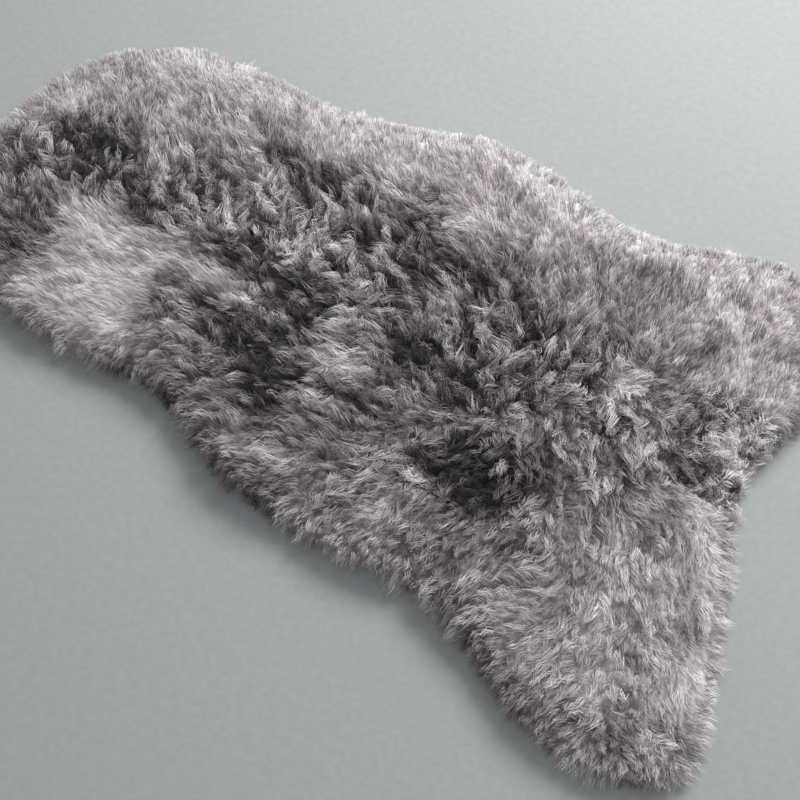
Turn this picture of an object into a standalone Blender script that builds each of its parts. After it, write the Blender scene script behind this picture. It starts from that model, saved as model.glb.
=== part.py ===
"""A sheepskin rug lying flat, wool side up, as one solid.

Metres, +Z up.  The underside of the hide is the plane z = 0.  The narrow end is
at -X, the two lobes are at +X, and the rug's length runs along X.
"""

from collections import namedtuple

import bmesh
import bpy

OBJECT_NAME = "sheepskin_rug"

# Heights, from the underside of the hide.
RIM_HEIGHT = 0.017       # where the wool reaches furthest out
SHOULDER_SHARE = 0.82    # height of the wool's outer shoulder, as a share of its crown

# The hide is smaller than its wool, and the wool rounds over towards its crown.
FOOT_INSET = 0.013       # from the wool's rim in to the edge of the hide
SHOULDER_INSET = 0.018   # from the wool's rim in to its shoulder

# Tufts that make the wool uneven.
TUFT_SIZE = 0.050
TUFT_RELIEF = 0.016      # from the deepest hollow to the highest tuft
RIM_TUFT_SHARE = 0.35    # how much of that relief the rim has

COLUMNS = 9              # cage faces across the rug
SUBDIVISION_LEVELS = 2

# Cross sections from the narrow end to the lobes.  Each runs from the near edge
# over the back line to the far edge.  "bow" bends it: 2 is a round end, 0.5 is a
# notch between two lobes.  "wool" is the crown height on the back line, and the
# wool is shorter towards the edges by the share in EDGE_WOOL_SHARE.
EDGE_WOOL_SHARE = 0.90
Section = namedtuple("Section", "near_x near_y back_x back_y far_x far_y bow wool")
SECTIONS = (
    Section(-0.482, -0.126, -0.506, 0.008, -0.464, 0.134, 2.0, 0.041),
    Section(-0.420, -0.194, -0.436, 0.006, -0.402, 0.190, 2.0, 0.044),
    Section(-0.347, -0.215, -0.360, 0.008, -0.332, 0.222, 2.0, 0.046),
    Section(-0.270, -0.222, -0.275, 0.006, -0.260, 0.222, 2.0, 0.047),
    Section(-0.190, -0.214, -0.190, 0.006, -0.185, 0.222, 2.0, 0.048),
    Section(-0.120, -0.200, -0.115, 0.008, -0.110, 0.238, 2.0, 0.048),
    Section(-0.045, -0.250, -0.040, 0.010, -0.038, 0.275, 2.0, 0.049),
    Section(0.035, -0.258, 0.038, 0.012, 0.040, 0.282, 2.0, 0.049),
    Section(0.112, -0.265, 0.116, 0.012, 0.120, 0.266, 2.0, 0.048),
    Section(0.190, -0.248, 0.195, 0.012, 0.200, 0.250, 2.0, 0.047),
    Section(0.268, -0.258, 0.268, 0.014, 0.270, 0.280, 1.0, 0.046),
    Section(0.348, -0.306, 0.326, 0.018, 0.335, 0.310, 0.7, 0.045),
    Section(0.445, -0.322, 0.374, 0.022, 0.412, 0.292, 0.6, 0.044),
    Section(0.544, -0.278, 0.398, 0.032, 0.480, 0.226, 0.56, 0.042),
)
ROWS = len(SECTIONS) - 1


def mix(a, b, share):
    """Value that lies `share` of the way from a to b."""
    return a + (b - a) * share


def section_point(section, across):
    """Plan position on one section, with `across` 0 at the near and 1 at the far edge."""
    if across < 0.5:
        edge_x, edge_y = section.near_x, section.near_y
    else:
        edge_x, edge_y = section.far_x, section.far_y
    out = abs(2.0 * across - 1.0)
    x = mix(section.back_x, edge_x, out ** section.bow)
    y = mix(section.back_y, edge_y, out)
    return x, y


def skin_point(along, across):
    """Plan position and crown height at shares along and across the rug."""
    place = min(along * ROWS, ROWS - 1e-6)
    first = int(place)
    here, there = SECTIONS[first], SECTIONS[first + 1]
    share = place - first
    x0, y0 = section_point(here, across)
    x1, y1 = section_point(there, across)
    edge = abs(2.0 * across - 1.0) ** 3
    wool = mix(here.wool, there.wool, share) * mix(1.0, EDGE_WOOL_SHARE, edge)
    return mix(x0, x1, share), mix(y0, y1, share), wool


def inset_share(share, inset, size):
    """Share along a side of length `size`, kept `inset` away from both of its ends."""
    margin = inset / size
    return min(max(share, margin), 1.0 - margin)


def wool_cage(name):
    """Coarse cage: a grid for the hide, raised to a rim and a crown."""
    mesh = bpy.data.meshes.new(name)
    bm = bmesh.new()
    bmesh.ops.create_grid(bm, x_segments=ROWS, y_segments=COLUMNS, size=0.5)
    raised = bmesh.ops.extrude_face_region(bm, geom=bm.faces[:], use_keep_orig=True)
    crown = [v for v in raised["geom"] if isinstance(v, bmesh.types.BMVert)]
    bmesh.ops.translate(bm, verts=crown, vec=(0.0, 0.0, 1.0))
    uprights = [e for e in bm.edges if abs(e.verts[0].co.z - e.verts[1].co.z) > 0.5]
    bmesh.ops.subdivide_edges(bm, edges=uprights, cuts=1)
    bmesh.ops.recalc_face_normals(bm, faces=bm.faces[:])

    crease = bm.edges.layers.float.new("crease_edge")
    tufts = bm.verts.layers.deform.new()
    length = SECTIONS[-1].near_x - SECTIONS[0].near_x
    for vert in bm.verts:
        along, across, level = vert.co.x + 0.5, vert.co.y + 0.5, vert.co.z
        on_edge = min(along, 1.0 - along, across, 1.0 - across) < 1e-4
        section = SECTIONS[min(round(along * ROWS), ROWS)]
        width = section.far_y - section.near_y
        inset = {0.0: FOOT_INSET, 0.5: 0.0, 1.0: SHOULDER_INSET}[round(level, 1)]
        x, y, wool = skin_point(inset_share(along, inset, length),
                                inset_share(across, inset, width))
        height = wool * (SHOULDER_SHARE if on_edge else 1.0)
        vert.co = (x, y, {0.0: 0.0, 0.5: RIM_HEIGHT, 1.0: height}[round(level, 1)])
        vert[tufts][0] = {0.0: 0.0, 0.5: RIM_TUFT_SHARE, 1.0: 1.0}[round(level, 1)]
    for edge in bm.edges:
        side_face = any(max(v.co.z for v in f.verts) > 0.0 for f in edge.link_faces)
        if side_face and all(v.co.z == 0.0 for v in edge.verts):
            edge[crease] = 1.0
    bm.to_mesh(mesh)
    bm.free()
    return mesh


def wool_material():
    """Mauve-grey dyed wool."""
    material = bpy.data.materials.new("dyed_wool")
    material.use_nodes = True
    shader = material.node_tree.nodes["Principled BSDF"]
    shader.inputs["Base Color"].default_value = (0.216, 0.195, 0.204, 1.0)
    shader.inputs["Roughness"].default_value = 0.85
    shader.inputs["Metallic"].default_value = 0.0
    return material


def sheepskin(collection):
    """The hide with its wool: one closed solid with a flat underside."""
    mesh = wool_cage("sheepskin")
    rug = bpy.data.objects.new("sheepskin", mesh)
    collection.objects.link(rug)
    rug.vertex_groups.new(name="tufts")
    mesh.materials.append(wool_material())

    smooth = rug.modifiers.new("Smooth", "SUBSURF")
    smooth.levels = SUBDIVISION_LEVELS
    smooth.render_levels = SUBDIVISION_LEVELS

    noise = bpy.data.textures.new("tufts", "CLOUDS")
    noise.noise_scale = TUFT_SIZE
    noise.noise_depth = 1
    uneven = rug.modifiers.new("Tufts", "DISPLACE")
    uneven.texture = noise
    uneven.texture_coords = "LOCAL"
    uneven.direction = "NORMAL"
    uneven.vertex_group = "tufts"
    uneven.mid_level = 0.5
    uneven.strength = TUFT_RELIEF

    flat_base = rug.modifiers.new("Flat base", "DECIMATE")
    flat_base.decimate_type = "DISSOLVE"
    flat_base.angle_limit = 0.0001
    return rug


def centre_in_plan(rug):
    """Stand the rug on z = 0 with the middle of its plan on the origin."""
    bpy.context.view_layer.update()
    surface = rug.evaluated_get(bpy.context.evaluated_depsgraph_get()).to_mesh()
    for axis in (0, 1):
        places = [vert.co[axis] for vert in surface.vertices]
        rug.location[axis] = -0.5 * (min(places) + max(places))


def main():
    """Build the rug in an empty scene."""
    for old in list(bpy.data.objects):
        bpy.data.objects.remove(old, do_unlink=True)
    collection = bpy.data.collections.new(OBJECT_NAME)
    bpy.context.scene.collection.children.link(collection)
    centre_in_plan(sheepskin(collection))


main()
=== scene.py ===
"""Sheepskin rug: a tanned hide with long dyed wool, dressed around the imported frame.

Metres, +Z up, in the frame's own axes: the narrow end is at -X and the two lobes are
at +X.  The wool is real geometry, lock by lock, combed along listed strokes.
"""

import logging
import math
from dataclasses import dataclass, field, fields
from enum import Enum
from typing import NamedTuple

import bmesh
import bpy
import numpy as np
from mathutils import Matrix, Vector
from mathutils.bvhtree import BVHTree


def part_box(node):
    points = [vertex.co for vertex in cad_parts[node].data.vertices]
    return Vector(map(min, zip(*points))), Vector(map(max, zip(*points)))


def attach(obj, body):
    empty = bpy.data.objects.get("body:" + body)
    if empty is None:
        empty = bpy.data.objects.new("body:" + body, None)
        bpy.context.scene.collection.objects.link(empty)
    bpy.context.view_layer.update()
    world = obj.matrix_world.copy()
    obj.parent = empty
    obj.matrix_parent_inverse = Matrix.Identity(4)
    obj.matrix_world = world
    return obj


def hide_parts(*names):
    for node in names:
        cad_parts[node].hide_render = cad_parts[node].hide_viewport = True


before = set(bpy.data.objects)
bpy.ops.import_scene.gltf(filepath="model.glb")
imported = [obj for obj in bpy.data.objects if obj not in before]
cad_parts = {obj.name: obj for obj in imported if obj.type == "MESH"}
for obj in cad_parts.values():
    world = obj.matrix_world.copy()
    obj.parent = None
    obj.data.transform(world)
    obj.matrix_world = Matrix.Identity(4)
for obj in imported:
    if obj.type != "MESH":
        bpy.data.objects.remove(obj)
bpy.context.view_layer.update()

NODE = "sheepskin"
BODY = "root"
SEED = 20
MM = 0.001

# What the wool's finish reads at each vertex: how far along its strand, the strand's
# own colour, the tone of the wool there with its painted light and shade, and how strongly
# the painted light and shade of its crimp shows.
WOOL_VALUES = ("along", "strand", "tone", "crimp")

CHART = "OFBake"    # the map that a baked finish is laid out on

log = logging.getLogger("sheepskin")


# --------------------------------------------------------------------------
# Colour and node helpers
# --------------------------------------------------------------------------
def linear(colour: str) -> tuple[float, float, float, float]:
    """Turn an sRGB hex colour into the linear value a shader takes.

    Args:
        colour: six hex digits, such as "a89fa3".

    Returns:
        Linear red, green and blue, with an alpha of 1.
    """
    def channel(value: int) -> float:
        """One sRGB channel, 0 to 255, as linear light."""
        share = value / 255.0
        return share / 12.92 if share <= 0.04045 else ((share + 0.055) / 1.055) ** 2.4

    red, green, blue = (channel(int(colour[i:i + 2], 16)) for i in (0, 2, 4))
    return red, green, blue, 1.0


def connect(tree: bpy.types.NodeTree, node: bpy.types.Node, inputs: dict) -> None:
    """Give a node's inputs their values and links.

    Args:
        tree: the node tree that the node is in.
        node: the node.
        inputs: a value or an output socket for each named or numbered input.
    """
    for name, value in inputs.items():
        if isinstance(value, bpy.types.NodeSocket):
            tree.links.new(value, node.inputs[name])
        else:
            node.inputs[name].default_value = value


def add_node(tree: bpy.types.NodeTree, kind: str, settings: dict | None = None,
             inputs: dict | None = None) -> bpy.types.Node:
    """Add a shader node with its settings, values and links.

    Args:
        tree: the node tree that the node goes in.
        kind: the node's type name, without "ShaderNode".
        settings: properties of the node.
        inputs: a value or an output socket for each named or numbered input.

    Returns:
        The new node.
    """
    node = tree.nodes.new("ShaderNode" + kind)
    for name, value in (settings or {}).items():
        setattr(node, name, value)
    connect(tree, node, inputs or {})
    return node


def set_ramp(node: bpy.types.Node, stops: tuple[tuple[float, str], ...]) -> None:
    """Give a colour ramp its stops.

    Args:
        node: the ramp's node.
        stops: place along the ramp and sRGB hex colour, in order.
    """
    elements = node.color_ramp.elements
    while len(elements) > len(stops):
        elements.remove(elements[-1])
    while len(elements) < len(stops):
        elements.new(1.0)
    for element, (place, colour) in zip(elements, stops):
        element.position = place
        element.color = linear(colour)


def noise_scale(size_mm: float) -> float:
    """Noise texture scale, in object space, for a feature of the given size."""
    return 1.0 / (size_mm * MM)


def start_finish(name: str) -> tuple[bpy.types.Material, bpy.types.NodeTree,
                                     bpy.types.Node]:
    """Start a material.

    Args:
        name: the material's name.

    Returns:
        The material, its node tree and its main shader.
    """
    material = bpy.data.materials.new(name)
    material.use_nodes = True
    return material, material.node_tree, material.node_tree.nodes["Principled BSDF"]


# --------------------------------------------------------------------------
# Finishes
# --------------------------------------------------------------------------
class Pull(NamedTuple):
    """How far one cause moves a point along the dye's run: its gain, then its offset."""

    gain: float
    offset: float


@dataclass(frozen=True)
class DyedWool:
    """Long wool, dyed mauve grey and combed.

    The wool is darkest near the skin, partly from the dye and partly from painted shade deep in
    it; the tips are bleached by light, so a parting looks charcoal and a smooth lay looks
    frosted.
    """

    name: str = "long_wool_dyed_mauve_grey"
    dye: tuple[tuple[float, str], ...] = (
        (0.0, "262222"), (0.30, "706868"), (0.62, "ada5a7"), (1.0, "e6e1e1"))
    depth_pull: Pull = Pull(0.34, 0.125)     # from root to tip of a strand; the dark root end is partly painted shade
    crimp_pull: Pull = Pull(0.34, 0.0)       # light and shade along a crimped strand
    lay_pull: Pull = Pull(1.0, 0.0)          # how pale this part of the rug is, painted light and shade included
    strand_pull: Pull = Pull(0.26, -0.13)    # from one strand to the next
    blotch_pull: Pull = Pull(0.30, -0.15)    # uneven take-up of the dye
    blotch_mm: float = 45.0
    crimp_mm: float = 2.4
    roughness: float = 0.62
    specular: float = 0.28
    sheen: float = 0.35        # light that grazes the fibres' scales
    sheen_roughness: float = 0.45
    sheen_tint: str = "d8d0d4"

    def material(self) -> bpy.types.Material:
        """Build the wool's material."""
        material, tree, shader = start_finish(self.name)
        along, strand, tone, crimp = (
            add_node(tree, "Attribute", {"attribute_name": name}).outputs["Fac"]
            for name in WOOL_VALUES)
        place = add_node(tree, "TexCoord").outputs["Object"]
        blotch = add_node(tree, "TexNoise", None, {
            "Vector": place, "Scale": noise_scale(self.blotch_mm), "Detail": 3.0,
            "Roughness": 0.6})
        grain = add_node(tree, "TexNoise", None, {
            "Vector": place, "Scale": noise_scale(self.crimp_mm), "Detail": 1.0})
        swing = add_node(tree, "Math", {"operation": "SUBTRACT"}, {
            0: grain.outputs["Fac"], 1: 0.5})
        swing = add_node(tree, "Math", {"operation": "MULTIPLY"}, {
            0: swing.outputs[0], 1: crimp})

        # Where along the dye's run from root to tip this point lies.
        pulls = ((along, self.depth_pull), (swing.outputs[0], self.crimp_pull),
                 (tone, self.lay_pull), (strand, self.strand_pull),
                 (blotch.outputs["Fac"], self.blotch_pull))
        run = None
        for cause, pull in pulls:
            part = add_node(tree, "Math", {"operation": "MULTIPLY_ADD"}, {
                0: cause, 1: pull.gain, 2: pull.offset})
            run = part if run is None else add_node(tree, "Math", {"operation": "ADD"}, {
                0: run.outputs[0], 1: part.outputs[0]})
        colour = add_node(tree, "ValToRGB", None, {"Fac": run.outputs[0]})
        set_ramp(colour, self.dye)
        connect(tree, shader, {
            "Base Color": colour.outputs["Color"], "Roughness": self.roughness,
            "Specular IOR Level": self.specular, "Sheen Weight": self.sheen,
            "Sheen Roughness": self.sheen_roughness,
            "Sheen Tint": linear(self.sheen_tint)})
        return material


@dataclass(frozen=True)
class Suede:
    """Tanned hide, buffed on its flesh side: matt, with a short nap and faint veins."""

    name: str = "sheepskin_suede_buffed"
    tan: tuple[tuple[float, str], ...] = ((0.3, "8f8272"), (0.7, "b3a797"))
    nap_mm: float = 0.9        # a real nap is finer, but wouldn't show
    nap_share: float = 0.35    # of the colour's unevenness; the rest is in clouds
    cloud_mm: float = 60.0
    nap_height: float = 0.3 * MM
    roughness: float = 0.92
    specular: float = 0.2

    def material(self) -> bpy.types.Material:
        """Build the suede's material."""
        material, tree, shader = start_finish(self.name)
        place = add_node(tree, "TexCoord").outputs["Object"]
        cloud = add_node(tree, "TexNoise", None, {
            "Vector": place, "Scale": noise_scale(self.cloud_mm), "Detail": 5.0,
            "Roughness": 0.65})
        nap = add_node(tree, "TexNoise", None, {
            "Vector": place, "Scale": noise_scale(self.nap_mm), "Detail": 2.0})
        both = add_node(tree, "Mix", {"data_type": "FLOAT"}, {
            0: self.nap_share, 2: cloud.outputs["Fac"], 3: nap.outputs["Fac"]})
        colour = add_node(tree, "ValToRGB", None, {"Fac": both.outputs[0]})
        set_ramp(colour, self.tan)
        bump = add_node(tree, "Bump", None, {
            "Height": nap.outputs["Fac"], "Strength": 0.35, "Distance": self.nap_height})
        connect(tree, shader, {
            "Base Color": colour.outputs["Color"], "Normal": bump.outputs["Normal"],
            "Roughness": self.roughness, "Specular IOR Level": self.specular})
        return material


@dataclass(frozen=True)
class MattFloor:
    """Painted floor: pale, matt and very slightly mottled."""

    name: str = "floor_matt_painted"
    paint: tuple[tuple[float, str], ...] = ((0.35, "959997"), (0.65, "9a9e9c"))
    mottle_mm: float = 8.0
    roughness: float = 0.8

    def material(self) -> bpy.types.Material:
        """Build the floor's material."""
        material, tree, shader = start_finish(self.name)
        place = add_node(tree, "TexCoord").outputs["Object"]
        mottle = add_node(tree, "TexNoise", None, {
            "Vector": place, "Scale": noise_scale(self.mottle_mm), "Detail": 4.0})
        colour = add_node(tree, "ValToRGB", None, {"Fac": mottle.outputs["Fac"]})
        set_ramp(colour, self.paint)
        connect(tree, shader, {
            "Base Color": colour.outputs["Color"], "Roughness": self.roughness})
        return material


# --------------------------------------------------------------------------
# Plans and meshes
# --------------------------------------------------------------------------
def turned(vectors: np.ndarray, angle: np.ndarray | float) -> np.ndarray:
    """Turn plan vectors by an angle each, in radians."""
    cos, sin = np.cos(angle), np.sin(angle)
    return np.stack([vectors[..., 0] * cos - vectors[..., 1] * sin,
                     vectors[..., 0] * sin + vectors[..., 1] * cos], axis=-1)


def unit(vectors: np.ndarray) -> np.ndarray:
    """Scale vectors to a length of 1."""
    return vectors / np.maximum(np.linalg.norm(vectors, axis=-1, keepdims=True), 1e-9)


def ease(share: np.ndarray) -> np.ndarray:
    """Ease a share between 0 and 1 in and out."""
    return share * share * (3.0 - 2.0 * share)


def blended(grid: np.ndarray, corner: np.ndarray, share: np.ndarray) -> np.ndarray:
    """Blend the four values of a grid round each place.

    Args:
        grid: one value for each point of the grid.
        corner: number of the grid's point below each place, along both axes.
        share: how far each place lies from that point towards the next ones, 0 to 1.

    Returns:
        One value for each place.
    """
    i, j = corner[..., 0], corner[..., 1]
    u, v = share[..., 0], share[..., 1]
    return ((1 - u) * (1 - v) * grid[i, j] + u * (1 - v) * grid[i + 1, j]
            + (1 - u) * v * grid[i, j + 1] + u * v * grid[i + 1, j + 1])


def plan_grid(low: np.ndarray, count: np.ndarray, cell: float) -> np.ndarray:
    """Plan positions on a square grid, as an array of rows and columns."""
    axes = [low[k] + cell * np.arange(count[k]) for k in (0, 1)]
    return np.stack(np.meshgrid(*axes, indexing="ij"), axis=-1)


def add_object(name: str, data: bpy.types.ID) -> bpy.types.Object:
    """Put a mesh, lamp or camera in the scene."""
    new = bpy.data.objects.new(name, data)
    bpy.context.scene.collection.objects.link(new)
    return new


def finish_wool(mesh: bpy.types.Mesh, places: np.ndarray,
                values: dict[str, np.ndarray]) -> bpy.types.Object:
    """Give a mesh of wool what its finish reads, and put it in the scene.

    Args:
        mesh: the mesh, which gives the piece its name.
        places: each corner's place on the map of the finish, 0 to 1.
        values: one number for each vertex, by name.

    Returns:
        The new object.
    """
    mesh.polygons.foreach_set("use_smooth", np.ones(len(mesh.polygons), dtype=bool))
    chart = mesh.uv_layers.new(name=CHART)
    chart.uv.foreach_set("vector", places.reshape(-1).astype(np.float32))
    for name in WOOL_VALUES:
        layer = mesh.attributes.new(name, "FLOAT", "POINT")
        layer.data.foreach_set("value", values[name].astype(np.float32))
    return add_object(mesh.name, mesh)


# --------------------------------------------------------------------------
# The hide's outline and the depth of its wool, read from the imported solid
# --------------------------------------------------------------------------
@dataclass
class HideShape:
    """Outline of the hide and height of the wool over it.

    Attributes:
        solid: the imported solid.
        cell: spacing of the height and distance grids.
        margin: how far the grids run past the solid's box.
        weld: corners of the solid that are nearer than this are one.
        level: how high a corner of the underside may lie.
        ring: the hide's edge, corner by corner.
        origin: where the grids start.
        height_grid: height of the wool's top.
        inset_grid: distance in from the hide's edge.
    """

    solid: bpy.types.Object
    cell: float = 4.0 * MM
    margin: float = 24.0 * MM
    weld: float = 1e-6
    level: float = 1e-5
    ring: np.ndarray = field(init=False)
    origin: np.ndarray = field(init=False)
    height_grid: np.ndarray = field(init=False)
    inset_grid: np.ndarray = field(init=False)

    def __post_init__(self) -> None:
        """Read the ring of the hide's edge and fill the grids."""
        low, high = (np.array(corner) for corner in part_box(NODE))
        self.origin = low[:2] - self.margin
        count = np.ceil((high[:2] - low[:2] + 2 * self.margin) / self.cell).astype(int) + 1
        self.ring = self.read_ring()
        points = plan_grid(self.origin, count, self.cell)
        self.inset_grid = self.ring_inset(points.reshape(-1, 2)).reshape(count)
        self.height_grid = self.ray_heights(points, high[2])

    def read_ring(self) -> np.ndarray:
        """Walk the edge of the flat underside.

        Returns:
            The edge's corners in order, one row of x and y each.
        """
        bm = bmesh.new()
        bm.from_mesh(self.solid.data)
        bmesh.ops.remove_doubles(bm, verts=bm.verts[:], dist=self.weld)

        def flat(face: bmesh.types.BMFace) -> bool:
            """Whether a face is part of the underside."""
            return max(vert.co.z for vert in face.verts) < self.level

        following: dict[int, list[int]] = {}
        places = {}
        for edge in bm.edges:
            sides = [flat(face) for face in edge.link_faces]
            if len(sides) == 2 and sides[0] != sides[1]:
                first, second = edge.verts
                following.setdefault(first.index, []).append(second.index)
                following.setdefault(second.index, []).append(first.index)
                places[first.index] = tuple(first.co.xy)
                places[second.index] = tuple(second.co.xy)
        bm.free()
        start = min(places)
        walk = [start, following[start][0]]
        while walk[-1] != start:
            before, here = walk[-2], walk[-1]
            ahead = [vert for vert in following[here] if vert != before]
            walk.append(ahead[0])
        return np.array([places[vert] for vert in walk[:-1]])

    def ring_inset(self, points: np.ndarray) -> np.ndarray:
        """Distance from the hide's edge, positive on the hide.

        Args:
            points: plan positions, one row each.

        Returns:
            One distance for each point.
        """
        starts = self.ring
        ends = np.roll(self.ring, -1, axis=0)
        nearest = np.full(len(points), np.inf)
        inside = np.zeros(len(points), dtype=bool)
        for start, end in zip(starts, ends):
            edge = end - start
            share = ((points - start) @ edge) / (edge @ edge)
            foot = start + np.clip(share, 0.0, 1.0)[:, None] * edge
            nearest = np.minimum(nearest, np.linalg.norm(points - foot, axis=1))
            spans = (start[1] > points[:, 1]) != (end[1] > points[:, 1])
            rise = end[1] - start[1]
            if rise != 0.0:
                crossing = start[0] + (points[:, 1] - start[1]) * edge[0] / rise
                inside ^= spans & (points[:, 0] < crossing)
        return np.where(inside, nearest, -nearest)

    def ray_heights(self, points: np.ndarray, top: float) -> np.ndarray:
        """Height of the wool's top at each grid point, or zero off the rug."""
        tree = BVHTree.FromPolygons(
            [vert.co for vert in self.solid.data.vertices],
            [tuple(face.vertices) for face in self.solid.data.polygons])
        heights = np.zeros(points.shape[:2])
        down = Vector((0.0, 0.0, -1.0))
        for index in np.ndindex(heights.shape):
            x, y = points[index]
            hit = tree.ray_cast(Vector((x, y, top + 10.0 * MM)), down)[0]
            if hit is not None:
                heights[index] = hit.z
        return heights

    def sample(self, grid: np.ndarray, points: np.ndarray) -> np.ndarray:
        """Read a grid between its points.

        Args:
            grid: values at the grid's points.
            points: plan positions, in any shape that ends in x and y.

        Returns:
            One value for each point.
        """
        limit = np.array(grid.shape) - 1.001    # just inside the last cell
        place = np.clip((points - self.origin) / self.cell, 0.0, limit)
        corner = place.astype(int)
        return blended(grid, corner, place - corner)

    def height(self, points: np.ndarray) -> np.ndarray:
        """Height of the wool's top over plan positions."""
        return self.sample(self.height_grid, points)

    def inset(self, points: np.ndarray) -> np.ndarray:
        """Distance in from the hide's edge at plan positions."""
        return self.sample(self.inset_grid, points)

    def outward(self, points: np.ndarray) -> np.ndarray:
        """Unit vectors that point to the nearest edge of the hide."""
        step = 2.0 * self.cell
        across = np.array([step, 0.0])
        up = np.array([0.0, step])
        slope = np.stack([self.inset(points - across) - self.inset(points + across),
                          self.inset(points - up) - self.inset(points + up)], axis=-1)
        return unit(slope)

    def signed_area(self) -> float:
        """Area inside the hide's edge, negative where the ring runs clockwise."""
        x, y = self.ring[:, 0], self.ring[:, 1]
        return 0.5 * float(x @ np.roll(y, -1) - y @ np.roll(x, -1))


@dataclass
class SmoothNoise:
    """Seeded noise that changes smoothly over a plan.

    Attributes:
        size: distance over which it changes.
        seed: which pattern of noise.
        reach: how far the lattice runs from the origin, which covers the whole rug.
    """

    size: float
    seed: int
    reach: float = 0.8
    lattice: np.ndarray = field(init=False)

    def __post_init__(self) -> None:
        """Draw the lattice that the noise runs through."""
        count = int(2.0 * self.reach / self.size) + 4
        self.lattice = np.random.default_rng(self.seed).uniform(-1.0, 1.0, (count, count))

    def at(self, points: np.ndarray) -> np.ndarray:
        """Noise between -1 and 1 at plan positions."""
        place = (points + self.reach) / self.size
        corner = place.astype(int)
        return blended(self.lattice, corner, ease(place - corner))


# --------------------------------------------------------------------------
# How the wool is combed
# --------------------------------------------------------------------------
@dataclass(frozen=True)
class LockStyle:
    """How the locks lie in one kind of wool.

    Attributes:
        run: how far a lock's tip lies from its root, against the wool's depth.
        rise: how high a lock's tip is, against the wool's depth.
        gather: how far a lock's strands draw together at the tip, 0 to 1.
        wave: sideways wave of a lock, in metres.
        stray: how unevenly the locks are combed, in radians.
        tone: lift of the wool's colour, from its root's towards its tip's.
        width: width of a strand, against the plain width.
        contrast: how far light and dark draw apart along and between the locks.
    """

    run: float
    rise: float
    gather: float
    wave: float
    stray: float
    tone: float
    width: float
    contrast: float


class Lay(Enum):
    """Kinds of wool in the rug."""

    SMOOTH = LockStyle(run=0.32, rise=0.93, gather=0.08, wave=0.8 * MM, stray=0.22, tone=0.36,
                       width=0.78, contrast=0.40)
    SOFT = LockStyle(run=0.34, rise=0.95, gather=0.35, wave=1.6 * MM, stray=0.45, tone=0.34,
                     width=0.78, contrast=0.85)
    WAVY = LockStyle(run=0.33, rise=0.96, gather=0.50, wave=2.6 * MM, stray=0.65, tone=0.30,
                     width=0.76, contrast=1.4)
    CURLED = LockStyle(run=0.40, rise=0.97, gather=0.50, wave=5.6 * MM, stray=0.75, tone=0.31,
                       width=0.86, contrast=2.1)
    UPRIGHT = LockStyle(run=0.24, rise=0.88, gather=0.45, wave=2.0 * MM, stray=1.00, tone=0.09,
                        width=0.68, contrast=1.9)


class Stroke(NamedTuple):
    """One stroke of the comb: where, which way the tips point, how wide, and the lay.

    Places and reach are in metres, and the heading is in degrees from +X.
    """

    x: float
    y: float
    heading: float
    reach: float
    lay: Lay


class Patch(NamedTuple):
    """A lighter or darker oval of wool: place, half axes, the long one's angle, and lift.

    Places and half axes are in metres, and the angle is in degrees from +X.
    """

    x: float
    y: float
    long: float
    wide: float
    angle: float
    tone: float


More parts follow.
